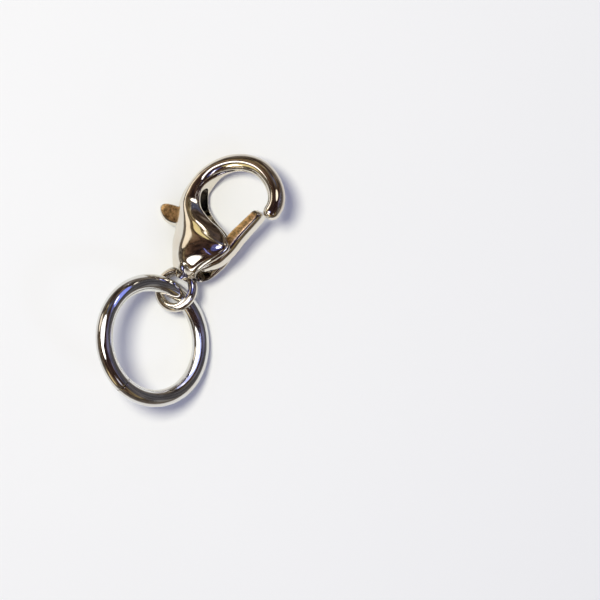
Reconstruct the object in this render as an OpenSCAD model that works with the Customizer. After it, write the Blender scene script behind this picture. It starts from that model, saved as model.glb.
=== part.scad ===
// Lobster clasp with a ring through its eye, lying on a table.
// The clasp is drawn flat first: hook end along +Y, lever side along +X, front face up,
// with zero at the middle of the eye end. It is then turned and laid down beside its ring.

/* [Hook] */
// Diameter of the hook's round wire
hook_wire_d = 2.08; // [1.8:0.02:2.3]
// Diameter of the hook's loop on the middle of its wire
hook_loop_d = 9.6; // [9:0.1:10.2]
// How far the middle of the loop lies to the lever side
hook_side = 1.85; // [1.6:0.05:2.1]

/* [Body] */
// Length from the eye end's middle to the middle of the hook's loop
body_l = 12.6; // [12:0.1:13.4]
// Width of the bulb, which the whole outline follows
body_w = 9; // [8.6:0.1:9.4]
// Height of the bulb's crest over the middle plane, on the front
front_t = 2.55; // [2.3:0.05:2.8]
// Depth of the bulb's crest under the middle plane, on the back
back_t = 2.2; // [2:0.05:2.4]
// Thickness over the rims of the two cheeks
rim_t = 3.7; // [3.5:0.05:3.9]
// Wall of the cheeks
wall_t = 0.6; // [0.45:0.05:0.7]

/* [Eye] */
// Diameter of the hole in the eye
eye_hole_d = 3.3; // [3.25:0.05:3.5]
// Diameter of the eye's rounded metal
eye_wire_d = 1.12; // [1:0.02:1.2]
// How far the eye lies away from the lever side
eye_side = 0.12; // [0:0.02:0.3]
// How far the eye lies out from the zero point
eye_out = 0.17; // [0.1:0.01:0.4]

/* [Lever] */
// Thickness of the lever
lever_t = 1.9; // [1.7:0.05:2]
// Play between the lever and the slot's sides, each
lever_play = 0.14; // [0.08:0.02:0.2]

/* [Pin] */
// Diameter of the rivet
pin_d = 1.2; // [1:0.05:1.4]
// Running clearance of the lever's hole round the rivet, on the diameter
pin_clear = 0.08; // [0.04:0.02:0.12]
// Metal left over the rivet's front end
pin_cover = 0.25; // [0.15:0.05:0.35]

/* [Ring] */
// Inside diameter of the ring
ring_in_d = 11.74; // [11.4:0.02:12]
// Diameter of the ring's wire
ring_wire_d = 2.06; // [1.96:0.02:2.1]
// Width of the seam where the ring's ends meet
ring_seam = 0.06; // [0.04:0.01:0.1]
// Place of the seam round the ring, counted from the ring's lowest point
seam_turn = 220; // [210:1:230]

/* [Lying on the table] */
// Turn of the clasp's length away from +Y
clasp_heading = -27.6; // [-29:0.1:-26]
// Roll of the clasp, with its lever side up
clasp_roll = 27; // [26:0.1:28]
// Rise of the clasp towards its hook end
clasp_rise = 2; // [1:0.1:3]
// Height of the clasp's zero point over the table
clasp_up = 2.76; // [2.6:0.01:2.9]
// Slope of the ring, with its left side up
ring_slope = 36.5; // [36:0.1:37]
// Turn of the ring's slope away from +X
ring_heading = 9.8; // [9:0.1:11]
// How far the ring's middle lies to the left of the clasp's zero point
ring_left = 2.89; // [2.8:0.01:3]
// How far the ring's middle lies out from the clasp's zero point, along -Y
ring_down = 6.16; // [6.1:0.01:6.3]
// How far the middle of the whole lies to the right of the clasp's zero point
middle_right = 1.665; // [1.5:0.005:1.8]
// How far the middle of the whole lies up from the clasp's zero point, along +Y
middle_up = 0.968; // [0.8:0.002:1.1]

/* [Hidden] */

metal = [0.80, 0.79, 0.78];
warm_metal = [0.72, 0.64, 0.55];

hook_r = hook_wire_d / 2;
loop_r = hook_loop_d / 2;
half_w = body_w / 2;
half_rim = rim_t / 2;
half_lever = lever_t / 2;
half_slot = half_lever + lever_play;
eye_wire_r = eye_wire_d / 2;
eye_r = (eye_hole_d + eye_wire_d) / 2;
ring_wire_r = ring_wire_d / 2;
ring_r = (ring_in_d + ring_wire_d) / 2;
pin_r = pin_d / 2;
past = 1;
full_turn = 360;

// Body from the neck to the root of the hook. Sides are shares of half_w, places of body_l,
// tops of front_t and back_t, rims of half_rim. Crest is the top's place between the two edges,
// hollow makes the fall from it to the rim S-shaped, and sharp narrows its outer side in front.
// columns: outer side, outer place, inner side, inner place, crest, top, rim, hollow,
//     back cheek's inner side, back cheek's inner place, sharp
SWELL = [
    [-0.20, 0.095, 0.17, 0.095, 0.50, 0.19, 0.17, 0.0, 0.17, 0.095, 1.0],
    [-0.29, 0.130, 0.26, 0.130, 0.50, 0.30, 0.26, 0.0, 0.26, 0.130, 1.0],
    [-0.39, 0.165, 0.36, 0.160, 0.54, 0.51, 0.42, 0.0, 0.44, 0.150, 1.0],
    [-0.48, 0.205, 0.42, 0.200, 0.57, 0.70, 0.62, 0.0, 0.53, 0.187, 1.1],
    [-0.58, 0.262, 0.49, 0.255, 0.57, 0.87, 0.78, 0.0, 0.62, 0.240, 1.2],
    [-0.69, 0.325, 0.60, 0.321, 0.55, 0.96, 0.87, 0.0, 0.71, 0.310, 1.3],
    [-0.78, 0.381, 0.76, 0.401, 0.53, 1.00, 0.92, 0.0, 0.78, 0.378, 1.3],
    [-0.86, 0.452, 0.90, 0.480, 0.50, 1.00, 0.92, 0.0, 0.83, 0.446, 1.4],
    [-0.94, 0.524, 0.98, 0.556, 0.46, 0.97, 0.87, 0.0, 0.86, 0.516, 1.4],
    [-1.01, 0.579, 0.90, 0.607, 0.43, 0.92, 0.82, 0.2, 0.80, 0.571, 1.4],
    [-1.06, 0.631, 0.68, 0.659, 0.41, 0.87, 0.80, 0.45, 0.61, 0.628, 1.4],
    [-1.09, 0.679, 0.39, 0.697, 0.39, 0.81, 0.79, 0.7, 0.36, 0.676, 1.3],
    [-1.12, 0.730, 0.09, 0.718, 0.39, 0.76, 0.78, 0.8, 0.08, 0.708, 1.2],
    [-1.13, 0.778, -0.19, 0.754, 0.42, 0.71, 0.77, 0.7, -0.19, 0.750, 1.1],
    [-1.13, 0.825, -0.39, 0.794, 0.46, 0.66, 0.76, 0.5, -0.39, 0.794, 1.0],
    [-1.12, 0.873, -0.52, 0.853, 0.50, 0.62, 0.75, 0.3, -0.52, 0.853, 0.95],
    [-1.08, 0.945, -0.60, 0.929, 0.50, 0.59, 0.73, 0.2, -0.60, 0.929, 0.9],
];

// Hook round its loop, angles from +Y towards the lever side, reaches as shares of loop_r,
// across and thick as shares of hook_r, flat as the share of the thickness that its inside keeps
// columns: angle, reach, across, thick, flat
HOOK = [
    [-87, 1.13, 0.99, 1.38, 0.86],
    [-74, 1.075, 1.00, 1.27, 0.66],
    [-58, 1.025, 1.00, 1.15, 0.42],
    [-38, 0.985, 1.00, 1.06, 0.24],
    [-16, 0.97, 1.00, 1.00, 0.12],
    [6, 0.98, 1.00, 1.00, 0.03],
    [26, 0.99, 1.00, 1.00, 0.03],
    [45, 1.02, 1.00, 1.00, 0.03],
    [62, 1.035, 1.00, 1.00, 0.03],
    [73, 1.01, 1.00, 1.00, 0.03],
    [80, 0.975, 1.00, 1.00, 0.03],
];

// Lever seen from the front, without its thumb tab: sides as shares of half_w, places of body_l
// columns: side, place
LEVER = [
    [0.96, 0.945],
    [1.00, 0.985],
    [1.07, 1.010],
    [1.17, 1.012],
    [1.26, 0.990],
    [1.265, 0.930],
    [1.15, 0.807],
    [1.01, 0.595],
    [0.89, 0.444],
    [0.78, 0.365],
    [0.60, 0.295],
    [0.40, 0.235],
    [0.24, 0.225],
    [0.16, 0.290],
    [-0.12, 0.430],
    [-0.55, 0.545],
    [-0.55, 0.680],
    [-0.10, 0.615],
    [0.30, 0.570],
    [0.56, 0.575],
    [0.66, 0.650],
];

// Thumb tab from its root to its tip: sides as shares of half_w, places of body_l,
// front and back heights as shares of half_lever
// columns: side, low edge, front's low edge, front's high edge, high edge, front, back
TAB = [
    [-0.50, 0.552, 0.558, 0.660, 0.670, 1.00, -1.00],
    [-0.75, 0.535, 0.560, 0.690, 0.700, 1.00, -1.00],
    [-1.00, 0.500, 0.567, 0.688, 0.698, 1.00, -0.85],
    [-1.22, 0.500, 0.580, 0.674, 0.684, 1.00, -0.50],
    [-1.40, 0.541, 0.592, 0.648, 0.659, 0.96, -0.11],
    [-1.50, 0.580, 0.604, 0.624, 0.634, 0.88, 0.10],
    [-1.535, 0.597, 0.604, 0.612, 0.618, 0.78, 0.30],
];

// The slot runs straight from low to high, then oval to its tip, and ends between the cheeks
slot_low = 0.345 * body_l;
slot_high = 0.84 * body_l;
slot_tip = 0.965 * body_l;
slot_inside = 0.15 * half_w;

// The front falls by this much from its crest to the rivet
crest_fall = 0.2;
// The rivet reaches down to this share of the back's depth
pin_back = 0.9;
pin_side = 0.50 * half_w;
pin_place = 0.445 * body_l;
pin_top = front_t - pin_cover - crest_fall;
pin_bottom = -back_t - past;

section_steps = 6;
swell_stations = 42;
hook_stations = 22;
hook_step = 0.05;
// The hook's front is fuller than round
hook_sharp = 0.8;
tip_angles = [25, 48, 68, 82];
// The wall at the outer edge is thicker than over the crest by this much
edge_wall = 1.5;
// The hollow starts and ends at these rows of the body's table
cavity_from = 3.1;
cavity_to = 13.4;

// Point on a smooth curve through the rows of a table, at place t counted in rows
function along(rows, t) =
    let (
        last = len(rows) - 1,
        i = min(floor(t), last - 1),
        f = t - i,
        a = rows[max(i - 1, 0)],
        b = rows[i],
        c = rows[i + 1],
        d = rows[min(i + 2, last)]
    )
    0.5 * (2 * b + (c - a) * f + (2 * a - 5 * b + 4 * c - d) * f * f
        + (3 * b - a - 3 * c + d) * f * f * f);

// Fall from the crest to the rim at share s of the way, from round to S-shaped
function fall(s, hollow) = (1 - hollow) * sqrt(1 - s * s) + hollow * (1 - 3 * s * s + 2 * s * s * s);

// Half a section between two edges, from the outer edge over the crest to the rim
function half_section(outer, inner, crest, top, rim, hollow, sharp) =
    let (across = inner - outer, n = section_steps)
    concat(
        [for (i = [0 : n])
            let (a = 90 * i / n, p = outer + across * crest * (1 - cos(a)))
            [p.x, p.y, top * pow(sin(a), sharp)]],
        [for (i = [1 : n])
            let (s = sin(90 * i / n), p = outer + across * (crest + (1 - crest) * s))
            [p.x, p.y, rim + (top - rim) * fall(s, hollow)]]
    );

// Closed section with the front half first, then the back half from the rim to the outer edge
function section(outer, inner, back_inner, crest, front, back, rim, hollow, sharp) =
    let (
        up = half_section(outer, inner, crest, front, rim, hollow, sharp),
        down = half_section(outer, back_inner, crest, -back, -min(rim, back), hollow, max(sharp, 1))
    )
    concat(up, [for (i = [2 * section_steps : -1 : 1]) down[i]]);

// Solid between a row of closed sections that all have the same number of points
module loft(sections) {
    n = len(sections[0]);
    m = len(sections);
    points = [for (s = sections) each s];
    sides = [for (j = [0 : m - 2]) for (i = [0 : n - 1])
        let (a = j * n + i, b = j * n + (i + 1) % n)
        each [[a, a + n, b + n], [a, b + n, b]]];
    start = [for (i = [1 : n - 2]) [0, i, i + 1]];
    end = [for (i = [1 : n - 2]) [(m - 1) * n, (m - 1) * n + i + 1, (m - 1) * n + i]];
    polyhedron(points, concat(start, sides, end), convexity = 8);
}

function swell_section(t) =
    let (r = along(SWELL, t))
    section([r[0] * half_w, r[1] * body_l], [r[2] * half_w, r[3] * body_l],
        [r[8] * half_w, r[9] * body_l], r[4], r[5] * front_t, r[5] * back_t,
        min(r[6] * half_rim, r[5] * front_t), r[7], r[10]);

// The hollow between the cheeks, one wall inside the swell and open past its rims
function cavity_section(t) =
    let (
        r = along(SWELL, t),
        outer = [r[0] * half_w, r[1] * body_l],
        inner = [r[2] * half_w, r[3] * body_l],
        back_inner = [r[8] * half_w, r[9] * body_l],
        out = (inner - outer) / norm(inner - outer),
        front = max(half_slot, r[5] * front_t - wall_t),
        back = max(half_slot, r[5] * back_t - wall_t),
        rim = max(half_slot, r[6] * half_rim - wall_t)
    )
    section(outer + out * wall_t * edge_wall, inner + out * past, back_inner + out * past,
        r[4], front, back, min(rim, front), r[7], r[10]);

// Middle of the hook's wire at a row of its table, and the way straight out from it
function hook_point(r) = [hook_side + r[1] * loop_r * sin(r[0]), body_l + r[1] * loop_r * cos(r[0])];
function hook_out(t) =
    let (
        last = len(HOOK) - 1,
        before = hook_point(along(HOOK, max(t - hook_step, 0))),
        after = hook_point(along(HOOK, min(t + hook_step, last))),
        d = after - before
    )
    [-d.y, d.x] / norm(d);

// Section of the hook at row t, made smaller by size and pushed on along the wire by push
function hook_section(t, size, push) =
    let (
        r = along(HOOK, t),
        out = hook_out(t),
        p = hook_point(r) + [out.y, -out.x] * push,
        side = out * r[2] * hook_r * size,
        thick = r[3] * hook_r * size
    )
    section(p + side, p - side, p - side, 0.5, thick, thick, thick * r[4], 0, hook_sharp);

module body_skin() {
    last = len(HOOK) - 1;
    loft(concat(
        [for (i = [0 : swell_stations]) swell_section((len(SWELL) - 1) * i / swell_stations)],
        [for (i = [1 : hook_stations]) hook_section(last * i / hook_stations, 1, 0)],
        [for (a = tip_angles) hook_section(last, cos(a), hook_r * sin(a))]
    ));
}

module cavity() {
    loft([for (i = [0 : swell_stations])
        cavity_section(cavity_from + (cavity_to - cavity_from) * i / swell_stations)]);
}

// Slot through the spine, where the thumb tab comes out and swings, with an oval upper end
module slot() {
    translate([-half_w - 2 * past, 0, 0])
        rotate([90, 0, 90])
        linear_extrude(half_w + 2 * past + slot_inside) {
            translate([slot_low, -half_slot]) square([slot_high - slot_low, 2 * half_slot]);
            translate([slot_high, 0])
                scale([(slot_tip - slot_high) / half_slot, 1])
                circle(r = half_slot, $fn = 32);
        }
}

module torus(r, wire_r, turn = full_turn) {
    rotate_extrude(angle = turn, $fn = 48)
        translate([r, 0])
        circle(r = wire_r, $fn = 24);
}

module lay_clasp() {
    translate([-middle_right, -middle_up, clasp_up])
        rotate([0, 0, clasp_heading])
        rotate([clasp_rise, 0, 0])
        rotate([0, -clasp_roll, 0])
        children();
}

module pin_rod(r, bottom, top) {
    translate([pin_side, pin_place, bottom])
        cylinder(r = r, h = top - bottom, $fn = 32);
}

module body() {
    color(metal) lay_clasp() {
        difference() {
            body_skin();
            cavity();
            slot();
            pin_rod(pin_r, pin_bottom, pin_top);
        }
        translate([-eye_side, -eye_out, 0]) torus(eye_r, eye_wire_r);
    }
}

module lever() {
    color(warm_metal) lay_clasp()
        difference() {
            union() {
                translate([0, 0, -half_lever])
                    linear_extrude(lever_t)
                    polygon([for (p = LEVER) [p[0] * half_w, p[1] * body_l]]);
                loft([for (r = TAB) [
                    [r[0] * half_w, r[1] * body_l, r[6] * half_lever],
                    [r[0] * half_w, r[2] * body_l, r[5] * half_lever],
                    [r[0] * half_w, r[3] * body_l, r[5] * half_lever],
                    [r[0] * half_w, r[4] * body_l, r[6] * half_lever],
                ]]);
            }
            pin_rod(pin_r + pin_clear / 2, -half_lever - past, half_lever + past);
        }
}

module pin() {
    color(metal) lay_clasp()
        pin_rod(pin_r, -back_t * pin_back, pin_top);
}

module ring() {
    color(metal)
        translate([
            -middle_right - ring_left,
            -middle_up - ring_down,
            ring_r * sin(ring_slope) + ring_wire_r
        ])
        rotate([0, 0, ring_heading])
        rotate([0, ring_slope, 0])
        rotate([0, 0, seam_turn])
        torus(ring_r, ring_wire_r, full_turn - ring_seam / ring_r * 180 / PI);
}

body();
lever();
pin();
ring();
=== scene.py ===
"""Lobster clasp with its jump ring, lying on a pale table."""

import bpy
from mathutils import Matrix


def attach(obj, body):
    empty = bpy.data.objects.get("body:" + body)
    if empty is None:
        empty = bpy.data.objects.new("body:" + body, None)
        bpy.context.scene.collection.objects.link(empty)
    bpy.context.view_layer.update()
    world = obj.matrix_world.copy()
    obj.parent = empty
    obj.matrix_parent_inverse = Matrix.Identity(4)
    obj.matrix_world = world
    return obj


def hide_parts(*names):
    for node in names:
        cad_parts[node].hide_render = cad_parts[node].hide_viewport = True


bl_info = {
    "name": "Lobster Clasp",
    "version": (1, 0, 0),
    "blender": (4, 5, 0),
    "location": "View3D > Sidebar > Clasp",
    "description": "Dresses the lobster clasp and its ring, and lights them on a pale table",
    "category": "Object",
}

import math

import bmesh
import bpy
import numpy as np
from bpy.props import FloatProperty, FloatVectorProperty, PointerProperty
from mathutils import Matrix, Vector

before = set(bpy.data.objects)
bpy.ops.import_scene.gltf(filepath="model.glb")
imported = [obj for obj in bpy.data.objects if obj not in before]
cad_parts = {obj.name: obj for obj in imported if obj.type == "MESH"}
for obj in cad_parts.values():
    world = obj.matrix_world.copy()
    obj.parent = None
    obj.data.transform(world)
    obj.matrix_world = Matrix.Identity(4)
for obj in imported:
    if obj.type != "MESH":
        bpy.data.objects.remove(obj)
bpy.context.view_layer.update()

MM = 0.001
PIXEL = 0.119 * MM

# How the flat-drawn clasp is turned, in degrees, and where it lies, in millimetres.
CLASP_HEADING = -27.6
CLASP_RISE = 2
CLASP_ROLL = -27
CLASP_AT = (-1.665, -0.968, 2.76)
# The ring's middle seen from the clasp's zero point, in millimetres.
RING_FROM_CLASP = (-2.89, -6.16)

# Points closer than this are one point, and edges sharper than this show as edges.
WELD = 1e-8
CREASE = math.radians(35)

# Body from the neck to the root of the hook. Sides are shares of half the width, places of the length,
# the crest of the way across, the top of the sizes front and back, and the rim of half the size rim.
# columns: outer side, outer place, inner side, inner place, crest, top, rim, sag from crest to rim,
#     back cheek's inner side, back cheek's inner place, depth of the hollow between the cheeks,
#     sharpness of the crest
SWELL = (
    (-0.20, 0.095, 0.17, 0.095, 0.50, 0.19, 0.17, 0.0, 0.17, 0.095, 0.0, 1.0),
    (-0.29, 0.130, 0.26, 0.130, 0.50, 0.30, 0.26, 0.0, 0.26, 0.130, 0.0, 1.0),
    (-0.39, 0.165, 0.36, 0.160, 0.54, 0.51, 0.42, 0.0, 0.44, 0.150, 0.0, 1.0),
    (-0.48, 0.205, 0.42, 0.200, 0.57, 0.70, 0.62, 0.0, 0.53, 0.187, 0.15, 1.1),
    (-0.58, 0.262, 0.49, 0.255, 0.57, 0.87, 0.78, 0.0, 0.62, 0.240, 0.8, 1.2),
    (-0.69, 0.325, 0.60, 0.321, 0.55, 0.96, 0.87, 0.0, 0.71, 0.310, 1.0, 1.3),
    (-0.78, 0.381, 0.76, 0.401, 0.53, 1.00, 0.92, 0.0, 0.78, 0.378, 1.0, 1.3),
    (-0.86, 0.452, 0.90, 0.480, 0.50, 1.00, 0.92, 0.0, 0.83, 0.446, 1.0, 1.4),
    (-0.94, 0.524, 0.98, 0.556, 0.46, 0.97, 0.87, 0.0, 0.86, 0.516, 1.0, 1.4),
    (-1.01, 0.579, 0.90, 0.607, 0.43, 0.92, 0.82, 0.2, 0.80, 0.571, 1.0, 1.4),
    (-1.06, 0.631, 0.68, 0.659, 0.41, 0.87, 0.80, 0.45, 0.61, 0.628, 1.0, 1.4),
    (-1.09, 0.679, 0.39, 0.697, 0.39, 0.81, 0.79, 0.7, 0.36, 0.676, 1.0, 1.3),
    (-1.12, 0.730, 0.09, 0.718, 0.39, 0.76, 0.78, 0.8, 0.08, 0.708, 0.9, 1.2),
    (-1.13, 0.778, -0.19, 0.754, 0.42, 0.71, 0.77, 0.7, -0.19, 0.750, 0.5, 1.1),
    (-1.13, 0.825, -0.39, 0.794, 0.46, 0.66, 0.76, 0.5, -0.39, 0.794, 0.1, 1.0),
    (-1.12, 0.873, -0.52, 0.853, 0.50, 0.62, 0.75, 0.3, -0.52, 0.853, 0.0, 0.95),
    (-1.08, 0.945, -0.60, 0.929, 0.50, 0.59, 0.73, 0.2, -0.60, 0.929, 0.0, 0.9),
)

# Hook round its loop. The angle is in degrees from the loop's far end towards the lever side, the reach
# is a share of the loop's radius, and half width and half height are shares of the wire's radius.
# columns: angle, reach, half width, half height, share of the height that the inner side keeps
HOOK = (
    (-87, 1.13, 0.99, 1.38, 0.86),
    (-74, 1.075, 1.00, 1.27, 0.66),
    (-58, 1.025, 1.00, 1.15, 0.42),
    (-38, 0.985, 1.00, 1.06, 0.24),
    (-16, 0.97, 1.00, 1.00, 0.12),
    (6, 0.98, 1.00, 1.00, 0.03),
    (26, 0.99, 1.00, 1.00, 0.03),
    (45, 1.02, 1.00, 1.00, 0.03),
    (62, 1.035, 1.00, 1.00, 0.03),
    (73, 1.01, 1.00, 1.00, 0.03),
    (80, 0.975, 1.00, 1.00, 0.03),
)
# The hook's crest and its sharpness, the points from one row to the next, and the angles round its tip.
HOOK_CREST = 0.5
HOOK_SHARP = 0.8
HOOK_POINTS = 4
TIP_ANGLES = (8, 16, 24, 32, 40, 48, 56, 64, 71, 77, 82, 86)

# Sections along the body's skin, steps of each half curve, and steps round each rim.
BODY_STATIONS = 340
CURVE_STEPS = 16
RIM_STEPS = 4

# The shell's rims: how soon they turn inwards as the hollow opens, and the most of a rim's height that
# their rounding takes.
LIP_RISE = 4
LIP_SHARE = 0.45
# The hollow starts this many walls in from the outer edge, and is at least this share of the top high.
HOLLOW_START = 1.5
HOLLOW_LEAST = 0.3
# Air between the shell's rims and the slot's sides.
RIM_AIR = 0.03 * MM

# Slot for the thumb tab: its low end, where its round end starts and its tip, as shares of the length,
# how far it comes past the middle, as a share of half the width, how far its tool stands out, and the
# angles round its end.
SLOT_PLACES = (0.345, 0.84, 0.965)
SLOT_PAST = 0.15
SLOT_OUT = 2 * MM
SLOT_END = range(-80, 90, 10)
# Painted shade inside the slot: its metal's colour is scaled down to this share.
SLOT_PAINTED_SHADE = 0.22
# How far off a face's middle may be and still count as a wall of the slot, which gets the painted shade.
WALL_NEAR = 0.02 * MM
WALL_PAST = 0.01

# Sides and steps of the eye's round wire.
EYE_SIDES = 40
EYE_STEPS = 120

# Lever from the tongue's tip round its heel to the thumb tab's tip. Front and back are shares of half the
# thickness, and the bevels are in millimetres.
# columns: left side, left place, right side, right place, front, back, left bevel, right bevel
LEVER = (
    (1.07, 1.010, 1.17, 1.012, 0.40, -0.80, 0.10, 0.10),
    (1.00, 0.985, 1.26, 0.990, 0.88, -1.00, 0.20, 0.40),
    (0.93, 0.915, 1.265, 0.930, 1.00, -1.00, 0.22, 0.55),
    (0.79, 0.790, 1.15, 0.785, 1.00, -1.00, 0.24, 0.60),
    (0.68, 0.675, 1.06, 0.665, 1.00, -1.00, 0.24, 0.62),
    (0.62, 0.590, 1.01, 0.570, 1.00, -1.00, 0.20, 0.62),
    (0.42, 0.572, 0.93, 0.480, 1.00, -1.00, 0.20, 0.60),
    (0.26, 0.574, 0.82, 0.392, 1.00, -1.00, 0.20, 0.60),
    (0.14, 0.585, 0.66, 0.320, 1.00, -1.00, 0.20, 0.55),
    (0.02, 0.598, 0.40, 0.245, 1.00, -1.00, 0.20, 0.45),
    (-0.12, 0.618, 0.10, 0.330, 1.00, -1.00, 0.20, 0.20),
    (-0.40, 0.655, -0.25, 0.465, 1.00, -1.00, 0.20, 0.20),
    (-0.70, 0.690, -0.62, 0.538, 1.00, -1.00, 0.18, 0.20),
    (-0.95, 0.694, -0.90, 0.512, 1.00, -0.90, 0.16, 0.50),
    (-1.15, 0.684, -1.13, 0.498, 1.00, -0.62, 0.16, 0.70),
    (-1.33, 0.669, -1.32, 0.520, 1.00, -0.27, 0.16, 0.62),
    (-1.45, 0.650, -1.46, 0.560, 0.94, 0.00, 0.16, 0.45),
    (-1.52, 0.625, -1.525, 0.597, 0.80, 0.22, 0.14, 0.20),
)
# Sections along the lever, and steps round each corner and along each flat between two corners.
LEVER_STATIONS = 160
CORNER_STEPS = 6
FLAT_STEPS = 10
# The most that the back's bevels have, how deep a bevel is for its width, and the most that it takes.
BACK_BEVEL = 0.25 * MM
BEVEL_SLOPE = 1.6
BEVEL_SHARE = 0.45
# The rivet's middle, as shares of half the width and of the length, and the tool that drills its hole.
PIN_AT = (0.50, 0.445)
HOLE_SIDES = 64
HOLE_DEPTH = 4 * MM
# Faces of the lever that look this straight to the front are grained, and tinted golden as a painted
# reflection.
GRAINED_FROM = 0.97

# Sides and steps of the ring's round wire.
RING_SIDES = 72
RING_STEPS = 300
# The seam's edges turn more than this angle, and are rounded by this much.
SEAM_EDGE = 1.0
SEAM_BEVEL = 0.03 * MM


def metres(name, description, value):
    """A length setting whose value is given in millimetres."""
    return FloatProperty(name=name, description=description, default=value * MM,
                         unit="LENGTH", subtype="DISTANCE", precision=6)


def degrees(name, description, value):
    """An angle setting whose value is given in degrees."""
    return FloatProperty(name=name, description=description, default=math.radians(value),
                         unit="ROTATION", subtype="ANGLE")


def share(name, description, value):
    """A setting between nought and one."""
    return FloatProperty(name=name, description=description, default=value, min=0.0, max=1.0,
                         subtype="FACTOR")


def colour(name, description, value):
    """A colour setting."""
    return FloatVectorProperty(name=name, description=description, default=value, size=3,
                               min=0.0, max=1.0, subtype="COLOR")


class CLASP_PG_body(bpy.types.PropertyGroup):
    """Sizes of the cast body"""

    length: metres("Length", "Eye end to the middle of the hook's loop", 12.6)
    width: metres("Width", "Width of the bulb", 9.0)
    front: metres("Front", "Height of the bulb's crest on the front", 2.55)
    back: metres("Back", "Depth of the bulb's crest on the back", 2.2)
    rim: metres("Rims", "Thickness over the rims of the cheeks", 3.7)
    wall: metres("Wall", "Wall of the cheeks", 0.6)
    hook_wire: metres("Hook wire", "Diameter of the hook's wire", 2.08)
    hook_loop: metres("Hook loop", "Diameter of the hook's loop", 9.6)
    hook_side: metres("Hook side", "Loop's middle towards the lever side", 1.85)
    eye_hole: metres("Eye hole", "Diameter of the hole in the eye", 3.3)
    eye_wire: metres("Eye wire", "Diameter of the eye's metal", 1.12)
    eye_side: metres("Eye side", "Eye's middle away from the lever side", 0.12)
    eye_out: metres("Eye out", "Eye's middle out from the zero point", 0.17)
    slot: metres("Slot", "Width of the slot for the thumb tab", 2.1)


class CLASP_PG_lever(bpy.types.PropertyGroup):
    """Sizes of the lever"""

    thickness: metres("Thickness", "Thickness of the lever", 1.9)
    pin: metres("Pin", "Diameter of the rivet", 1.2)
    play: metres("Play", "Running clearance on the rivet's diameter", 0.08)


class CLASP_PG_ring(bpy.types.PropertyGroup):
    """Sizes of the jump ring"""

    inside: metres("Inside", "Inside diameter of the ring", 11.74)
    wire: metres("Wire", "Diameter of the ring's wire", 2.06)
    seam: metres("Seam", "Width of the seam", 0.06)
    seam_turn: degrees("Seam place", "Seam's place from the ring's lowest point", 220)
    slope: degrees("Slope", "Slope of the ring on the table", 36.5)
    heading: degrees("Heading", "Turn of the ring's slope", 9.8)


class CLASP_PG_finish(bpy.types.PropertyGroup):
    """Colours and finishes"""

    nickel: colour("Nickel", "Colour of the bright plate", (0.81, 0.77, 0.68))
    cool_nickel: colour("Cool nickel", "Colour of the ring's plate", (0.74, 0.79, 0.82))
    # The lever's golden tone is a painted reflection: it stands in for the brown that the silvery face
    # mirrors.
    lever: colour("Lever plate", "Colour of the lever's grained plate", (1.0, 0.67, 0.33))
    polish: share("Roughness", "Roughness of the bright plate", 0.07)
    table: colour("Table", "Colour of the table", (0.90, 0.90, 0.905))


def clasp_turn():
    """How the flat-drawn clasp is turned and laid on the table, in metres."""
    turn = (Matrix.Rotation(math.radians(CLASP_HEADING), 4, "Z")
            @ Matrix.Rotation(math.radians(CLASP_RISE), 4, "X")
            @ Matrix.Rotation(math.radians(CLASP_ROLL), 4, "Y"))
    return Matrix.Translation(Vector(CLASP_AT) * MM) @ turn


def spline(rows, places):
    """Smooth curve through every row, with no kink at any of them, at the given places."""
    rows = np.array(rows, float)
    n = len(rows)
    a = np.zeros((n, n))
    b = np.zeros_like(rows)
    a[0, 0] = a[-1, -1] = 1
    for i in range(1, n - 1):
        a[i, i - 1:i + 2] = (1, 4, 1)
        b[i] = 6 * (rows[i + 1] - 2 * rows[i] + rows[i - 1])
    bend = np.linalg.solve(a, b)
    out = []
    for t in places:
        i = min(int(t), n - 2)
        f = t - i
        g = 1 - f
        out.append(g * rows[i] + f * rows[i + 1]
                   + ((g ** 3 - g) * bend[i] + (f ** 3 - f) * bend[i + 1]) / 6)
    return np.array(out)


def skin(sections):
    """The skin over closed sections with equally many points, closed at both ends."""
    around, along = len(sections[0]), len(sections)
    bm = bmesh.new()
    bmesh.ops.create_grid(bm, x_segments=around, y_segments=along - 1, size=0.5)
    for v in bm.verts:
        i = round((v.co.x + 0.5) * around)
        j = round((v.co.y + 0.5) * (along - 1))
        v.co = sections[j][i % around]
    bmesh.ops.remove_doubles(bm, verts=bm.verts, dist=WELD)
    ends = [e for e in bm.edges if e.is_boundary]
    bmesh.ops.holes_fill(bm, edges=ends, sides=0)
    bmesh.ops.recalc_face_normals(bm, faces=bm.faces)
    return bm


def spun_wire(radius, wire, sides, steps, gap=0.0):
    """Round wire bent round the z axis, closed or with an angle left open between its flat ends."""
    bm = bmesh.new()
    place = Matrix.Translation((radius, 0, 0)) @ Matrix.Rotation(math.pi / 2, 4, "X")
    bmesh.ops.create_circle(bm, segments=sides, radius=wire / 2, cap_ends=gap > 0, matrix=place)
    bmesh.ops.spin(bm, geom=bm.verts[:] + bm.edges[:] + bm.faces[:], axis=(0, 0, 1), cent=(0, 0, 0),
                   steps=steps, angle=2 * math.pi - gap, use_merge=gap == 0)
    if gap == 0:
        bmesh.ops.remove_doubles(bm, verts=bm.verts, dist=WELD)
    bmesh.ops.recalc_face_normals(bm, faces=bm.faces)
    return bm


def finished(bm, name, turn=None):
    """The bmesh as a smooth object whose place is in its mesh."""
    if turn is not None:
        bmesh.ops.transform(bm, matrix=turn, verts=bm.verts)
    mesh = bpy.data.meshes.new(name)
    bm.to_mesh(mesh)
    bm.free()
    mesh.shade_smooth()
    piece = bpy.data.objects.new(name, mesh)
    bpy.context.scene.collection.objects.link(piece)
    return piece


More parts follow.
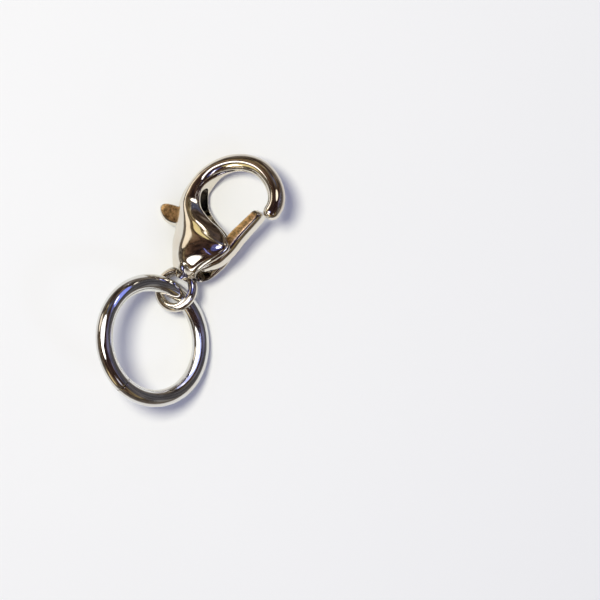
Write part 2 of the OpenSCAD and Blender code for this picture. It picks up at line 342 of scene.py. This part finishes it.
def cut(piece, tool, operation="DIFFERENCE"):
    """Applies a boolean with another object and removes that object."""
    bpy.context.view_layer.objects.active = piece
    mod = piece.modifiers.new("cut", "BOOLEAN")
    mod.object = tool
    mod.operation = operation
    mod.solver = "EXACT"
    depsgraph = bpy.context.evaluated_depsgraph_get()
    mesh = bpy.data.meshes.new_from_object(piece.evaluated_get(depsgraph))
    piece.modifiers.remove(mod)
    old = piece.data
    piece.data = mesh
    bpy.data.meshes.remove(old)
    bpy.data.objects.remove(tool)


def half_curve(outer, inner, crest, top, rim, sag, sharp):
    """From the outer edge over the crest to the rim, as points with their heights."""
    across = inner - outer
    points = []
    for i in range(CURVE_STEPS + 1):
        a = math.pi / 2 * i / CURVE_STEPS
        x, y = outer + across * crest * (1 - math.cos(a))
        points.append((x, y, top * math.sin(a) ** sharp))
    for i in range(1, CURVE_STEPS + 1):
        s = math.sin(math.pi / 2 * i / CURVE_STEPS)
        fall = (1 - sag) * math.sqrt(max(0.0, 1 - s * s)) + sag * (1 - 3 * s * s + 2 * s ** 3)
        x, y = outer + across * (crest + (1 - crest) * s)
        points.append((x, y, rim + (top - rim) * fall))
    return points


def shell_section(row, wall, gap):
    """Closed section of a cheeked shell: over the outside, round each rim and through the hollow.

    Where it is hollow its rims are made thinner, at most down to a fifth of the wall, so that they end
    the gap away from the middle plane.
    """
    outer, inner, back_inner = row[0:2], row[2:4], row[4:6]
    crest, front, back, rim, sag, depth, sharp = row[6:13]
    depth = min(max(depth, 0.0), 1.0)
    sag = min(max(sag, 0.0), 1.0)
    lip_in = min(1.0, depth * LIP_RISE)
    quarter = [math.pi / 2 * i / RIM_STEPS for i in range(1, RIM_STEPS + 1)]
    loop = []
    for side, edge, top in ((1, inner, front), (-1, back_inner, back)):
        out = (edge - outer) / np.linalg.norm(edge - outer)
        low = min(rim, top)
        lip = min(wall / 2, LIP_SHARE * rim)
        lip += (min(lip, max((low - gap) / 2, wall / 10)) - lip) * lip_in
        part = half_curve(outer, edge - out * lip, crest, top, low, sag,
                          sharp if side > 0 else max(sharp, 1.0))
        for a in quarter:
            x, y = edge - out * lip * (1 - math.sin(a))
            part.append((x, y, low - lip * (1 - math.cos(a))))
        for a in quarter:
            x, y = edge - out * lip * lip_in * (1 - math.cos(a))
            part.append((x, y, low - lip - lip * lip_in * math.sin(a)))
        start = edge - out * lip * lip_in
        reach = start + (outer + out * wall * HOLLOW_START - start) * depth
        height = low - lip - lip * lip_in
        under = max(top - wall, HOLLOW_LEAST * top)
        under = height + (max(under, height) - height) * depth
        # The hollow is walked back from the rim, whose last point is there already.
        part += half_curve(reach, start, crest, under, height, sag * depth, sharp)[-2::-1]
        loop.append([(x, y, side * z) for x, y, z in part])
    # The back half is walked backwards, without its ends, which the front half has too.
    return loop[0] + loop[1][-2:0:-1]


def swell_rows(size):
    """The sections of neck, bulb and spine, in metres."""
    half_w, length = size.width / 2, size.length
    rows = []
    for (outer, outer_at, inner, inner_at, crest, top, rim, sag,
         back_inner, back_at, depth, sharp) in SWELL:
        rows.append((outer * half_w, outer_at * length, inner * half_w, inner_at * length,
                     back_inner * half_w, back_at * length, crest, top * size.front, top * size.back,
                     rim * size.rim / 2, sag, depth, sharp))
    return rows


def hook_rows(size):
    """The hook's sections round its loop, in metres, and the way that its end points."""
    hook_r, loop_r = size.hook_wire / 2, size.hook_loop / 2
    hook = spline(HOOK, [i / HOOK_POINTS for i in range(HOOK_POINTS * (len(HOOK) - 1) + 1)])
    line = np.array([(size.hook_side + r[1] * loop_r * math.sin(math.radians(r[0])),
                      size.length + r[1] * loop_r * math.cos(math.radians(r[0]))) for r in hook])
    way = np.gradient(line, axis=0)
    rows = []
    for i in range(0, len(hook), 2):
        half_width, half_height, kept = hook[i][2:5]
        out = np.array((-way[i][1], way[i][0])) / np.linalg.norm(way[i])
        side, thick = out * half_width * hook_r, half_height * hook_r
        outer, inner = line[i] + side, line[i] - side
        rows.append((*outer, *inner, *inner, HOOK_CREST, thick, thick, thick * kept, 0, 0, HOOK_SHARP))
    return rows, way[-1] / np.linalg.norm(way[-1])


def body_sections(size):
    """Every section of the body's skin, from the neck to the rounded tip of the hook."""
    hook, forward = hook_rows(size)
    rows = swell_rows(size) + hook
    gap = size.slot / 2 + RIM_AIR
    sections = [shell_section(row, size.wall, gap)
                for row in spline(rows, np.linspace(0, len(rows) - 1, BODY_STATIONS))]
    hook_r, end = size.hook_wire / 2, np.array(rows[-1])
    middle, side = (end[0:2] + end[2:4]) / 2, (end[0:2] - end[2:4]) / 2
    for a in np.radians(TIP_ANGLES):
        row = end.copy()
        at = middle + forward * hook_r * math.sin(a)
        row[0:2] = at + side * math.cos(a)
        row[2:4] = row[4:6] = at - side * math.cos(a)
        row[7:10] = end[7:10] * math.cos(a)
        sections.append(shell_section(row, size.wall, gap))
    return sections


def slot_places(size):
    """The slot's low end, where its round end starts, and its tip, in metres."""
    return [place * size.length for place in SLOT_PLACES]


def slot_tool(size):
    """The flat bar with one round end that cuts the slot through the spine."""
    half_w, half_slot = size.width / 2, size.slot / 2
    low, high, tip = slot_places(size)
    outline = [(low, -half_slot), (high, -half_slot)]
    for a in np.radians(SLOT_END):
        outline.append((high + (tip - high) * math.cos(a), half_slot * math.sin(a)))
    outline += [(high, half_slot), (low, half_slot)]
    bm = bmesh.new()
    face = bm.faces.new([bm.verts.new((-half_w - SLOT_OUT, y, z)) for y, z in outline])
    lift = bmesh.ops.extrude_face_region(bm, geom=[face])
    ends = [v for v in lift["geom"] if isinstance(v, bmesh.types.BMVert)]
    bmesh.ops.translate(bm, verts=ends, vec=((1 + SLOT_PAST) * half_w + SLOT_OUT, 0, 0))
    bmesh.ops.recalc_face_normals(bm, faces=bm.faces)
    return finished(bm, "slot")


def slot_shade_faces(mesh, size):
    """The numbers of the faces that lie inside the slot, which get the painted shade."""
    low, high, tip = slot_places(size)
    walls = []
    for face in mesh.polygons:
        x, y, z = face.center
        past = min(max((y - high) / (tip - high), 0), 1)
        wide = size.slot / 2 * math.sqrt(1 - past * past) + WALL_NEAR
        spine_side = x < (SLOT_PAST + WALL_PAST) * size.width / 2
        if spine_side and low - WALL_NEAR < y < tip + WALL_NEAR and abs(z) < wide:
            walls.append(face.index)
    return walls


class CLASP_OT_body(bpy.types.Operator):
    """Models the cast body: neck, hollow bulb, spine and hook in one skin, with its slot and eye"""

    bl_idname = "clasp.body"
    bl_label = "Body"

    def execute(self, context):
        size = context.scene.clasp_body
        body = finished(skin(body_sections(size)), "clasp_body")
        eye = spun_wire((size.eye_hole + size.eye_wire) / 2, size.eye_wire, EYE_SIDES, EYE_STEPS)
        eye_at = Matrix.Translation((-size.eye_side, -size.eye_out, 0))
        cut(body, finished(eye, "eye", eye_at), "UNION")
        cut(body, slot_tool(size))
        walls = slot_shade_faces(body.data, size)
        body.data.transform(clasp_turn())
        body.data.set_sharp_from_angle(angle=CREASE)
        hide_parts("body")
        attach(body, "clasp")
        body.data.materials.clear()
        body.data.materials.append(nickel("bright_nickel"))
        # The slot's walls get a darker copy of the plate, as painted shade.
        body.data.materials.append(nickel("painted_shade_nickel", bright=SLOT_PAINTED_SHADE))
        for i in walls:
            body.data.polygons[i].material_index = 1
        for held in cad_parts["pin"].material_slots:
            held.material = nickel("pin_nickel")
        return {"FINISHED"}


def lever_section(row):
    """Closed section across the lever, with its four edges rounded into bevels."""
    left, right = np.array(row[0:2]), np.array(row[2:4])
    front, back, left_bevel, right_bevel = row[4:8]
    wide = np.linalg.norm(right - left)
    across = (right - left) / wide
    edges = ((left_bevel, front, -1, 1), (right_bevel, front, 1, 1),
             (min(right_bevel, BACK_BEVEL), back, 1, -1), (min(left_bevel, BACK_BEVEL), back, -1, -1))
    corners = []
    for bevel, z, side, face in edges:
        bevel = min(bevel, BEVEL_SHARE * wide)
        deep = min(BEVEL_SLOPE * bevel, BEVEL_SHARE * (front - back))
        x = 0 if side < 0 else wide
        for i in range(CORNER_STEPS + 1):
            a = math.pi / 2 * i / CORNER_STEPS
            c, s = math.cos(a), math.sin(a)
            if side * face > 0:
                c, s = s, c
            at = left + across * (x - side * bevel * (1 - c))
            corners.append((at[0], at[1], z - face * deep * (1 - s)))
    points = []
    for i, p in enumerate(corners):
        q = corners[(i + 1) % len(corners)]
        points.append(p)
        if i % (CORNER_STEPS + 1) == CORNER_STEPS:
            for step in range(1, FLAT_STEPS):
                points.append(tuple(a + (b - a) * step / FLAT_STEPS for a, b in zip(p, q)))
    return points


class CLASP_OT_lever(bpy.types.Operator):
    """Models the lever: tongue, heel and thumb tab, with bevelled edges and its hole"""

    bl_idname = "clasp.lever"
    bl_label = "Lever"

    def execute(self, context):
        size, lever = context.scene.clasp_body, context.scene.clasp_lever
        half_w, length, half_t = size.width / 2, size.length, lever.thickness / 2
        rows = [(r[0] * half_w, r[1] * length, r[2] * half_w, r[3] * length,
                 r[4] * half_t, r[5] * half_t, r[6] * MM, r[7] * MM) for r in LEVER]
        places = np.linspace(0, len(rows) - 1, LEVER_STATIONS)
        piece = finished(skin([lever_section(row) for row in spline(rows, places)]), "clasp_lever")
        bm = bmesh.new()
        hole = (lever.pin + lever.play) / 2
        drilled_at = Matrix.Translation((PIN_AT[0] * half_w, PIN_AT[1] * length, 0))
        bmesh.ops.create_cone(bm, cap_ends=True, segments=HOLE_SIDES, radius1=hole, radius2=hole,
                              depth=HOLE_DEPTH, matrix=drilled_at)
        cut(piece, finished(bm, "hole"))
        mesh = piece.data
        mesh.materials.clear()
        mesh.materials.append(nickel("lever_nickel"))
        mesh.materials.append(grained("lever_face_painted_reflection"))
        for f in mesh.polygons:
            f.material_index = 1 if f.normal.z > GRAINED_FROM else 0
        mesh.transform(clasp_turn())
        mesh.set_sharp_from_angle(angle=CREASE)
        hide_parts("lever")
        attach(piece, "lever")
        return {"FINISHED"}


class CLASP_OT_ring(bpy.types.Operator):
    """Models the jump ring with the fine seam where its ends meet"""

    bl_idname = "clasp.ring"
    bl_label = "Ring"

    def execute(self, context):
        size = context.scene.clasp_ring
        ring_r = (size.inside + size.wire) / 2
        bm = spun_wire(ring_r, size.wire, RING_SIDES, RING_STEPS, gap=size.seam / ring_r)
        rims = [e for e in bm.edges if len(e.link_faces) == 2 and e.calc_face_angle(0) > SEAM_EDGE]
        bmesh.ops.bevel(bm, geom=rims, offset=SEAM_BEVEL, segments=2, profile=0.5, affect="EDGES",
                        material=-1)
        x, y = (at + off for at, off in zip(CLASP_AT, RING_FROM_CLASP))
        centre = Vector((x, y, 0)) * MM
        centre.z = ring_r * math.sin(size.slope) + size.wire / 2
        turn = (Matrix.Translation(centre) @ Matrix.Rotation(size.heading, 4, "Z")
                @ Matrix.Rotation(size.slope, 4, "Y") @ Matrix.Rotation(size.seam_turn, 4, "Z"))
        ring = finished(bm, "jump_ring", turn)
        ring.data.set_sharp_from_angle(angle=CREASE)
        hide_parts("ring")
        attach(ring, "clasp")
        ring.data.materials.append(nickel("ring_nickel", cool=RING_COOL))
        return {"FINISHED"}


def add_node(nodes, kind, values=None, **settings):
    """A node of one kind, with its settings, and with values for inputs by their name or number."""
    node = nodes.new("ShaderNode" + kind)
    for name, value in settings.items():
        setattr(node, name, value)
    for name, value in (values or {}).items():
        node.inputs[name].default_value = value
    return node


def new_material(name):
    """An empty material with its nodes and links."""
    mat = bpy.data.materials.new(name)
    mat.use_nodes = True
    return mat, mat.node_tree.nodes, mat.node_tree.links


def noise(nodes, links, coords, scale, detail, roughness=0.5):
    """A noise pattern over the given coordinates."""
    node = add_node(nodes, "TexNoise", {"Scale": scale, "Detail": detail, "Roughness": roughness})
    links.new(coords, node.inputs["Vector"])
    return node


def colour_ramp(nodes, links, pattern, low, high, dark, light):
    """A pattern's colours: dark below the low value, light above the high one, and mixed between."""
    ramp = add_node(nodes, "ValToRGB")
    for stop, place, rgb in zip(ramp.color_ramp.elements, (low, high), (dark, light)):
        stop.position = place
        stop.color = (*rgb, 1)
    links.new(pattern.outputs["Fac"], ramp.inputs["Fac"])
    return ramp.outputs["Color"]


def bumps(nodes, links, pattern, strength, distance, under=None):
    """The way that a surface faces with a pattern as bumps on it, over other bumps if they are given."""
    bump = add_node(nodes, "Bump", {"Strength": strength, "Distance": distance})
    links.new(pattern.outputs["Fac"], bump.inputs["Height"])
    if under is not None:
        links.new(under, bump.inputs["Normal"])
    return bump.outputs["Normal"]


def scaled(nodes, links, seen, factor):
    """A colour made lighter or darker by a factor."""
    node = add_node(nodes, "VectorMath", operation="SCALE")
    links.new(seen, node.inputs["Vector"])
    links.new(factor, node.inputs["Scale"])
    return node.outputs["Vector"]


# Colour of the film on the plate, as shares of the plate's own red, green and blue.
FILM = (0.94, 0.90, 0.86)
# Painted shade in the nooks: how far from another face it reaches, and how bright the plate's colour is at
# its darkest.
PAINTED_SHADE_REACH = 1.6 * MM
PAINTED_SHADE_DARKEST = 0.16
# The plate's least and most roughness, as shares of the set one.
HAZE = (0.7, 1.6)
# Colour in the grain's pits, as a share of the lever's own.
PIT_BRIGHT = 0.32
# How much of the ring's cool plate is mixed into the warm one.
RING_COOL = 0.5


def nickel(name, bright=1.0, cool=0.0):
    """Polished nickel plate with a thin film, painted shade in its nooks, faint waves, a fine ripple and
    patches of haze; bright scales its colour down as painted shade.
    """
    finish = bpy.context.scene.clasp_finish
    plate = [warm + (cold - warm) * cool for warm, cold in zip(finish.nickel, finish.cool_nickel)]
    mat, nodes, links = new_material(name)
    shader = nodes["Principled BSDF"]
    shader.inputs["Metallic"].default_value = 1.0
    coords = add_node(nodes, "TexCoord").outputs["Object"]
    film = noise(nodes, links, coords, scale=420, detail=3)
    tone = colour_ramp(nodes, links, film, low=0.35, high=0.65,
                       dark=[c * k for c, k in zip(plate, FILM)], light=plate)
    # Painted shade: the colour darkens where other faces are near, in nooks, creases and the eye's hole.
    ao_shade = add_node(nodes, "AmbientOcclusion", {"Distance": PAINTED_SHADE_REACH}, only_local=True, samples=8)
    painted_shade_scale = add_node(nodes, "MapRange", {"From Min": 0.5, "From Max": 0.95,
                                            "To Min": PAINTED_SHADE_DARKEST * bright, "To Max": bright})
    links.new(ao_shade.outputs["AO"], painted_shade_scale.inputs["Value"])
    links.new(scaled(nodes, links, tone, painted_shade_scale.outputs["Result"]), shader.inputs["Base Color"])
    waves = noise(nodes, links, coords, scale=700, detail=2)
    waved = bumps(nodes, links, waves, strength=0.35, distance=0.02 * MM)
    ripple = noise(nodes, links, coords, scale=2200, detail=3)
    rippled = bumps(nodes, links, ripple, strength=0.30, distance=0.006 * MM, under=waved)
    links.new(rippled, shader.inputs["Normal"])
    haze = noise(nodes, links, coords, scale=2500, detail=4)
    rough = add_node(nodes, "MapRange", {"To Min": finish.polish * HAZE[0],
                                         "To Max": finish.polish * HAZE[1]})
    links.new(haze.outputs["Fac"], rough.inputs["Value"])
    links.new(rough.outputs["Result"], shader.inputs["Roughness"])
    return mat


def grained(name):
    """Plate over the lever's rough-cast face, with a fine grain, in a golden tone that is a painted
    reflection of the brown room.
    """
    finish = bpy.context.scene.clasp_finish
    mat, nodes, links = new_material(name)
    shader = nodes["Principled BSDF"]
    shader.inputs["Metallic"].default_value = 1.0
    shader.inputs["Roughness"].default_value = 0.28
    coords = add_node(nodes, "TexCoord").outputs["Object"]
    grain = noise(nodes, links, coords, scale=2700, detail=5, roughness=0.68)
    tone = colour_ramp(nodes, links, grain, low=0.38, high=0.60,
                       dark=[c * PIT_BRIGHT for c in finish.lever], light=finish.lever)
    links.new(tone, shader.inputs["Base Color"])
    pitted = bumps(nodes, links, grain, strength=0.6, distance=0.04 * MM)
    links.new(pitted, shader.inputs["Normal"])
    return mat


# Rings of the room from straight overhead down to the table's edge.
# columns: degrees from overhead, colour
ROOM_RINGS = (
    (0, (0.026, 0.014, 0.014)),
    (22, (0.034, 0.018, 0.017)),
    (34, (0.080, 0.047, 0.033)),
    (40, (0.026, 0.014, 0.013)),
    (50, (0.062, 0.035, 0.025)),
    (58, (0.13, 0.078, 0.050)),
    (64, (0.25, 0.19, 0.11)),
    (68, (0.055, 0.036, 0.028)),
    (78, (0.11, 0.09, 0.075)),
    (86, (0.14, 0.12, 0.105)),
    (90, (0.24, 0.22, 0.19)),
)
# The rings' colours are spread over this many degrees, and the whole room wavers by this much.
ROOM_SPAN = 100
ROOM_SWAY = 0.34

# Broad parts of the room that the metal mirrors, under its clutter of light and shade.
# columns: heading from the right, degrees from overhead, half width, soft edge, strength, colour
ROOM_PARTS = (
    (92, 64, 20, 16, 0.85, (0.125, 0.098, 0.072)),
    (112, 57, 5, 7, 0.85, (0.24, 0.18, 0.10)),
    (90, 50, 6, 8, 0.75, (0.10, 0.12, 0.22)),
    (92, 72, 13, 7, 0.80, (0.055, 0.036, 0.028)),
    (0, 74, 30, 16, 0.85, (0.100, 0.098, 0.112)),
    (8, 44, 12, 12, 0.75, (0.17, 0.16, 0.28)),
)
# Single things in front of them, with the same columns.
ROOM_THINGS = (
    (48, 68, 5, 8, 0.80, (0.020, 0.016, 0.022)),
    (-28, 78, 4, 8, 0.70, (0.30, 0.28, 0.27)),
    (76, 84, 5, 8, 0.70, (0.32, 0.29, 0.28)),
    (108, 56, 2, 2, 0.9, (0.60, 0.52, 0.36)),
    (152, 72, 9, 3, 1.0, (1.15, 1.02, 0.86)),
    (-74, 40, 3, 4, 0.9, (0.90, 0.88, 1.05)),
    (232, 74, 7, 7, 0.9, (0.80, 0.62, 0.34)),
    (-50, 56, 7, 7, 0.6, (0.30, 0.24, 0.13)),
)

# Small lamps close over the metal, each for one glint that only mirrors see.
# columns: spot it shines on, in millimetres, heading, degrees from overhead, and in millimetres again
#     distance, width and height, and brightness
GLINTS = (
    ((0.2, 2.1, 5.5), 210, 45, 30, 13, 9, (3.2, 3.1, 2.9)),
    ((3.45, 3.95, 6.4), 147, 18, 12, 4, 4, (2.4, 2.6, 3.6)),
    ((3.45, 3.95, 6.4), 147, 18, 12.6, 8.5, 8.5, (0.06, 0.09, 0.36)),
    ((4.75, 14.1, 3.9), 167, 45, 10, 2.6, 2.6, (2.3, 2.2, 2.1)),
    ((6.4, 13.7, 4.6), 203, 63, 10, 4, 4, (0.80, 0.70, 0.36)),
    ((1.6, 12.5, 3.0), 149, 30, 8, 1.4, 1.4, (0.45, 0.50, 0.85)),
    ((10.15, 10.1, 7.1), 92, 24, 8, 4, 4, (1.5, 1.4, 1.25)),
    ((9.13, 8.06, 7.1), 187, 52, 8, 2.5, 2.5, (2.0, 1.9, 1.9)),
    ((-10.3, -5.6, 10.0), 135, 26, 9, 11, 9, (1.9, 1.9, 2.0)),
    ((-8.1, -1.75, 8.3), 33, 60, 9, 7, 5, (0.25, 0.33, 1.1)),
    ((0.7, -8.2, 2.3), 130, 38, 8, 7, 6, (2.0, 2.1, 2.4)),
    ((0.2, -10.9, 3.2), 84, 53, 8, 5, 5, (0.70, 0.78, 1.4)),
)

# Soft lamps for all that isn't mirrored.
# columns: name, place, width, power, tint
LAMPS = (
    ("key_lamp", (-0.088, 0.058, 0.398), 0.120, 1.32, (1.0, 0.980, 0.82)),
    ("side_lamp", (0.30, -0.22, 0.34), 0.07, 0.10, (0.62, 0.74, 1.0)),
)

# Light of the room on all that isn't mirrored, and the colour behind everything.
SOFT_LIGHT = (0.68, 0.70, 1.0, 1)
SOFT_STRENGTH = 0.40
BACKDROP = (0.90, 0.90, 0.91, 1)

# The pale sheet: half its side, the middle of what the metal sees of it, the distances between which that
# fades out, the colour of the painted reflection of a dark room beyond, and how dark the sheet's clouds are.
SHEET_SIZE = 1.5
SHEET_MIDDLE = (-12 * MM, -8 * MM, 0)
SHEET_FADES = (26 * MM, 60 * MM)
PAINTED_ROOM_COLOUR = (0.16, 0.13, 0.11, 1)
CLOUD_SHADE = 0.97

# The photo's side and the zero point's place in it, in pixels, the camera's lens and sensor, in
# millimetres, the height at which a pixel has its set size, and how far the camera sees.
PHOTO_SIDE = 600
PHOTO_ZERO = (191.49, 280.37)
LENS = 300
SENSOR = 36
MID_HEIGHT = 3 * MM
FARTHEST = 10

# Numbers of the colour sockets on a mix node.
MIX_UNDER, MIX_OVER, MIX_RESULT = 6, 7, 2


def direction(heading, tilt):
    """The way towards a heading from the right and an angle from overhead, both in degrees."""
    heading, tilt = math.radians(heading), math.radians(tilt)
    return Vector((math.sin(tilt) * math.cos(heading), math.sin(tilt) * math.sin(heading),
                   math.cos(tilt)))


def arccosine(nodes, links, value):
    """The angle whose cosine is the value."""
    node = add_node(nodes, "Math", operation="ARCCOSINE")
    links.new(value, node.inputs[0])
    return node.outputs[0]


def mixed(nodes, links, amount, under, over):
    """Two shaders mixed by the amount of the one that lies over."""
    mix = add_node(nodes, "MixShader")
    for socket, source in zip(mix.inputs, (amount, under, over)):
        links.new(source, socket)
    return mix.outputs["Shader"]


def patch(nodes, links, way, seen, row):
    """One bright or dark part of the room, laid over what is seen so far."""
    heading, tilt, half, soft, strength, rgb = row
    dot = add_node(nodes, "VectorMath", {1: direction(heading, tilt)}, operation="DOT_PRODUCT")
    links.new(way, dot.inputs[0])
    off = arccosine(nodes, links, dot.outputs["Value"])
    fade = add_node(nodes, "MapRange", {"From Min": math.radians(half + soft),
                                        "From Max": math.radians(half), "To Max": strength},
                    interpolation_type="SMOOTHSTEP")
    links.new(off, fade.inputs["Value"])
    mix = add_node(nodes, "Mix", data_type="RGBA", clamp_result=False)
    links.new(fade.outputs["Result"], mix.inputs["Factor"])
    links.new(seen, mix.inputs[MIX_UNDER])
    mix.inputs[MIX_OVER].default_value = (*rgb, 1)
    return mix.outputs[MIX_RESULT]


def swayed(nodes, links, coords):
    """The ways into the room, bent a little by noise so that nothing in it is quite straight."""
    stray = noise(nodes, links, coords, scale=2.6, detail=2)
    bent = add_node(nodes, "VectorMath", {1: (ROOM_SWAY, ROOM_SWAY, ROOM_SWAY)}, operation="MULTIPLY_ADD")
    links.new(stray.outputs["Color"], bent.inputs[0])
    links.new(coords, bent.inputs[2])
    half = ROOM_SWAY / 2
    shifted = add_node(nodes, "VectorMath", {1: (half, half, half)}, operation="SUBTRACT")
    links.new(bent.outputs["Vector"], shifted.inputs[0])
    way = add_node(nodes, "VectorMath", operation="NORMALIZE")
    links.new(shifted.outputs["Vector"], way.inputs[0])
    return way.outputs["Vector"]


def room_rings(nodes, links, way):
    """The room's colours from overhead down to the table's edge."""
    split = add_node(nodes, "SeparateXYZ")
    links.new(way, split.inputs["Vector"])
    angle = arccosine(nodes, links, split.outputs["Z"])
    turn = add_node(nodes, "Math", {1: math.radians(ROOM_SPAN)}, operation="DIVIDE")
    links.new(angle, turn.inputs[0])
    ramp = add_node(nodes, "ValToRGB")
    band = ramp.color_ramp
    while len(band.elements) < len(ROOM_RINGS):
        band.elements.new(0.5)
    for stop, (tilt, rgb) in zip(band.elements, ROOM_RINGS):
        stop.position = tilt / ROOM_SPAN
        stop.color = (*rgb, 1)
    links.new(turn.outputs[0], ramp.inputs["Fac"])
    return ramp.outputs["Color"]


def room(world):
    """The room that the metal mirrors, the soft light on all else, and the backdrop behind it."""
    world.use_nodes = True
    nodes, links = world.node_tree.nodes, world.node_tree.links
    nodes.clear()
    out = add_node(nodes, "OutputWorld")
    coords = add_node(nodes, "TexCoord").outputs["Generated"]
    way = swayed(nodes, links, coords)
    seen = room_rings(nodes, links, way)
    clutter = noise(nodes, links, way, scale=9, detail=3, roughness=0.62)
    shades = add_node(nodes, "MapRange", {"From Min": 0.40, "From Max": 0.60,
                                          "To Min": 0.30, "To Max": 1.45})
    links.new(clutter.outputs["Fac"], shades.inputs["Value"])
    for row in ROOM_PARTS:
        seen = patch(nodes, links, way, seen, row)
    seen = scaled(nodes, links, seen, shades.outputs["Result"])
    for row in ROOM_THINGS:
        seen = patch(nodes, links, way, seen, row)
    mirrored = add_node(nodes, "Background")
    links.new(seen, mirrored.inputs["Color"])
    soft = add_node(nodes, "Background", {"Color": SOFT_LIGHT, "Strength": SOFT_STRENGTH})
    pale = add_node(nodes, "Background", {"Color": BACKDROP})
    path = add_node(nodes, "LightPath")
    light = mixed(nodes, links, path.outputs["Is Glossy Ray"], soft.outputs["Background"],
                  mirrored.outputs["Background"])
    whole = mixed(nodes, links, path.outputs["Is Camera Ray"], light, pale.outputs["Background"])
    links.new(whole, out.inputs["Surface"])


def beyond_sheet(mat, shader):
    """For mirrored rays the pale sheet fades into a dim glow of a dark room's colour, a painted reflection
    which the camera never sees.
    """
    nodes, links = mat.node_tree.nodes, mat.node_tree.links
    coords = add_node(nodes, "TexCoord").outputs["Object"]
    away = add_node(nodes, "VectorMath", {1: SHEET_MIDDLE}, operation="DISTANCE")
    links.new(coords, away.inputs[0])
    edge = add_node(nodes, "MapRange", {"From Min": SHEET_FADES[0], "From Max": SHEET_FADES[1]},
                    interpolation_type="SMOOTHSTEP")
    links.new(away.outputs["Value"], edge.inputs["Value"])
    path = add_node(nodes, "LightPath")
    both = add_node(nodes, "Math", operation="MULTIPLY")
    links.new(edge.outputs["Result"], both.inputs[0])
    links.new(path.outputs["Is Glossy Ray"], both.inputs[1])
    # Painted reflection: for mirrored rays the sheet glows dimly in this colour.
    dark = add_node(nodes, "Emission", {"Color": PAINTED_ROOM_COLOUR})
    whole = mixed(nodes, links, both.outputs["Value"], shader.outputs["BSDF"], dark.outputs["Emission"])
    links.new(whole, nodes["Material Output"].inputs["Surface"])


def area_lamp(name, shape, at, way):
    """An area lamp that hangs the given way from what it lights."""
    light = bpy.data.objects.new(name, bpy.data.lights.new(name, "AREA"))
    light.data.shape = shape
    light.location = at
    light.rotation_euler = (-way).to_track_quat("-Z", "Y").to_euler()
    bpy.context.scene.collection.objects.link(light)
    return light


def lamp(name, at, width, power, tint):
    """A soft round lamp that looks at the zero point and isn't mirrored in the metal."""
    light = area_lamp(name, "DISK", at, Vector(at))
    light.data.size = width
    light.data.energy = power
    light.data.color = tint
    light.visible_glossy = False


def glint(number, spot, heading, tilt, distance, width, height, brightness):
    """A small lamp over one spot, seen only in the metal."""
    way = direction(heading, tilt)
    light = area_lamp("glint_%d" % number, "ELLIPSE", (Vector(spot) + way * distance) * MM, way)
    brightest = max(brightness)
    data = light.data
    data.size = width * MM
    data.size_y = height * MM
    data.color = [c / brightest for c in brightness]
    data.energy = brightest * math.pi * math.pi / 4 * data.size * data.size_y
    light.visible_camera = False
    light.visible_diffuse = False


class CLASP_OT_stage(bpy.types.Operator):
    """Sets the pale table, the lamps, the room that the metal reflects, and the camera"""

    bl_idname = "clasp.stage"
    bl_label = "Stage"

    def execute(self, context):
        sheet = context.scene.clasp_finish.table
        bm = bmesh.new()
        bmesh.ops.create_grid(bm, x_segments=4, y_segments=4, size=SHEET_SIZE)
        table = finished(bm, "table")
        mat, nodes, links = new_material("table_white")
        shader = nodes["Principled BSDF"]
        shader.inputs["Roughness"].default_value = 0.7
        shader.inputs["Specular IOR Level"].default_value = 0.15
        coords = add_node(nodes, "TexCoord").outputs["Object"]
        cloud = noise(nodes, links, coords, scale=18, detail=3)
        tone = colour_ramp(nodes, links, cloud, low=0, high=1, dark=[c * CLOUD_SHADE for c in sheet],
                           light=sheet)
        links.new(tone, shader.inputs["Base Color"])
        table.data.materials.append(mat)
        beyond_sheet(mat, shader)

        for row in LAMPS:
            lamp(*row)
        for number, row in enumerate(GLINTS):
            glint(number, *row)
        world = bpy.data.worlds.new("room")
        context.scene.world = world
        room(world)
        context.scene.view_settings.view_transform = "Standard"

        cam = bpy.data.cameras.new("camera")
        cam.sensor_width = SENSOR
        cam.lens = LENS
        cam.clip_end = FARTHEST
        view = bpy.data.objects.new("camera", cam)
        middle = PHOTO_SIDE / 2
        view.location = ((middle - PHOTO_ZERO[0]) * PIXEL, (PHOTO_ZERO[1] - middle) * PIXEL,
                         PHOTO_SIDE * PIXEL * LENS / SENSOR + MID_HEIGHT)
        context.scene.collection.objects.link(view)
        context.scene.camera = view
        return {"FINISHED"}


class CLASP_PT_panel(bpy.types.Panel):
    """Lists the clasp's pieces and their sizes"""

    bl_idname = "CLASP_PT_panel"
    bl_label = "Lobster Clasp"
    bl_space_type = "VIEW_3D"
    bl_region_type = "UI"
    bl_category = "Clasp"

    def draw(self, context):
        layout = self.layout
        for operator in ("clasp.body", "clasp.lever", "clasp.ring", "clasp.stage"):
            layout.operator(operator)
        for name, group in GROUPS:
            box = layout.box()
            settings = getattr(context.scene, name)
            for prop in group.__annotations__:
                box.prop(settings, prop)


GROUPS = (
    ("clasp_body", CLASP_PG_body),
    ("clasp_lever", CLASP_PG_lever),
    ("clasp_ring", CLASP_PG_ring),
    ("clasp_finish", CLASP_PG_finish),
)

CLASSES = (
    CLASP_OT_body,
    CLASP_OT_lever,
    CLASP_OT_ring,
    CLASP_OT_stage,
    CLASP_PT_panel,
)


def register():
    """Registers the settings and their operators and panel."""
    for name, group in GROUPS:
        bpy.utils.register_class(group)
        setattr(bpy.types.Scene, name, PointerProperty(type=group))
    for cls in CLASSES:
        bpy.utils.register_class(cls)


def unregister():
    """Takes away all that register adds, in reverse."""
    for cls in reversed(CLASSES):
        bpy.utils.unregister_class(cls)
    for name, group in reversed(GROUPS):
        delattr(bpy.types.Scene, name)
        bpy.utils.unregister_class(group)


def main():
    register()
    bpy.ops.clasp.body()
    bpy.ops.clasp.lever()
    bpy.ops.clasp.ring()
    bpy.ops.clasp.stage()


if __name__ == "__main__":
    main()
